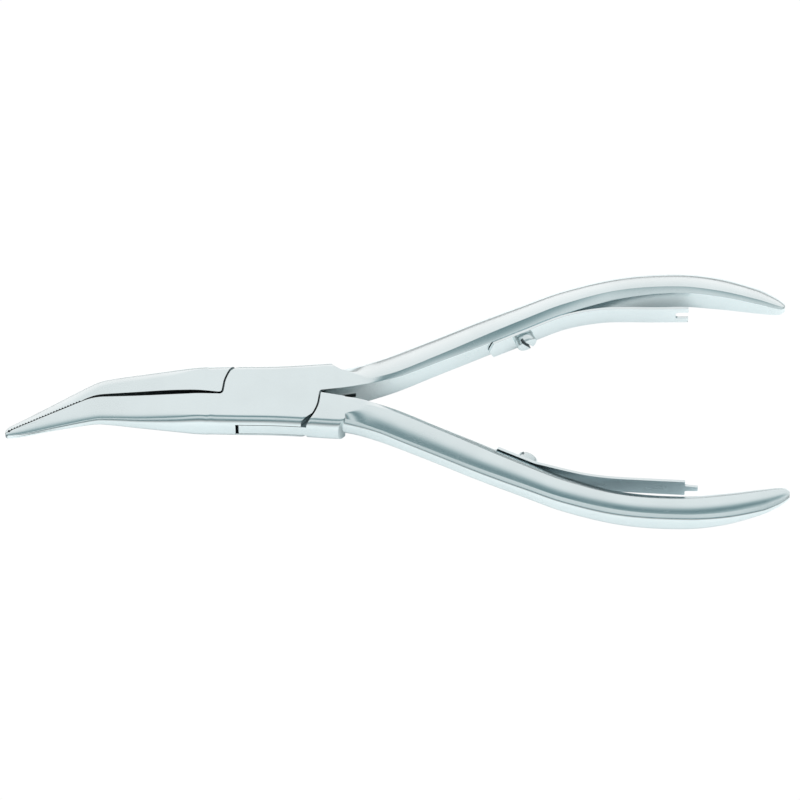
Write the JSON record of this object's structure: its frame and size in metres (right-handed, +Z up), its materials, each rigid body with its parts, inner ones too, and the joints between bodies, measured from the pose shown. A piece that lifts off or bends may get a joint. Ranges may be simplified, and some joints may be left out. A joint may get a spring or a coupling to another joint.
{
  "type": "crimping pliers",
  "caption": "Slim bent-nose pliers with serrated jaws, a lap box joint with a flush rivet, and a leaf spring screwed to each curved handle.",
  "frame": {"origin": "on the jaw pivot's axis, on the flat underside of the joint, which lies on the table", "axes": "+X from the pivot to the handle ends, +Y towards the handle of the half with the two cheeks, +Z up along the pivot axis"},
  "size_m": [0.1399, 0.051, 0.0066],
  "materials": {
    "polished_steel": "fine satin polish, almost a mirror, with very faint grinding lines along the handles",
    "spring_steel": "rolled spring strip, polished, with a faint lengthwise grain",
    "screw_steel": "turned steel with faint round tool marks"
  },
  "bodies": {
    "box_half": {"box_half": "polished_steel", "joint_pin": "polished_steel", "fork_leaf_root": "spring_steel", "fork_screw": "screw_steel"},
    "tongue_half": {"tongue_half": "polished_steel", "tongue_leaf_root": "spring_steel", "tongue_screw": "screw_steel"},
    "fork_blade": {"fork_leaf_blade": "spring_steel"},
    "tongue_blade": {"tongue_leaf_blade": "spring_steel"}
  },
  "joints": [
    {"name": "jaw_pivot", "type": "hinge", "parent": "box_half", "child": "tongue_half", "pos_m": [0, 0, 0.0033], "axis": [0, 0, -1], "range_deg": [0, 25]},
    {"name": "fork_blade_flex", "type": "hinge", "parent": "box_half", "child": "fork_blade", "pos_m": [0.0521, 0.0161, 0.0033], "axis": [0, 0, -1], "range_deg": [-2, 10], "stiffness_Nm_per_rad": 1.2},
    {"name": "tongue_blade_flex", "type": "hinge", "parent": "tongue_half", "child": "tongue_blade", "pos_m": [0.0469, -0.0139, 0.0033], "axis": [0, 0, 1], "range_deg": [-2, 10], "stiffness_Nm_per_rad": 1.2}
  ]
}
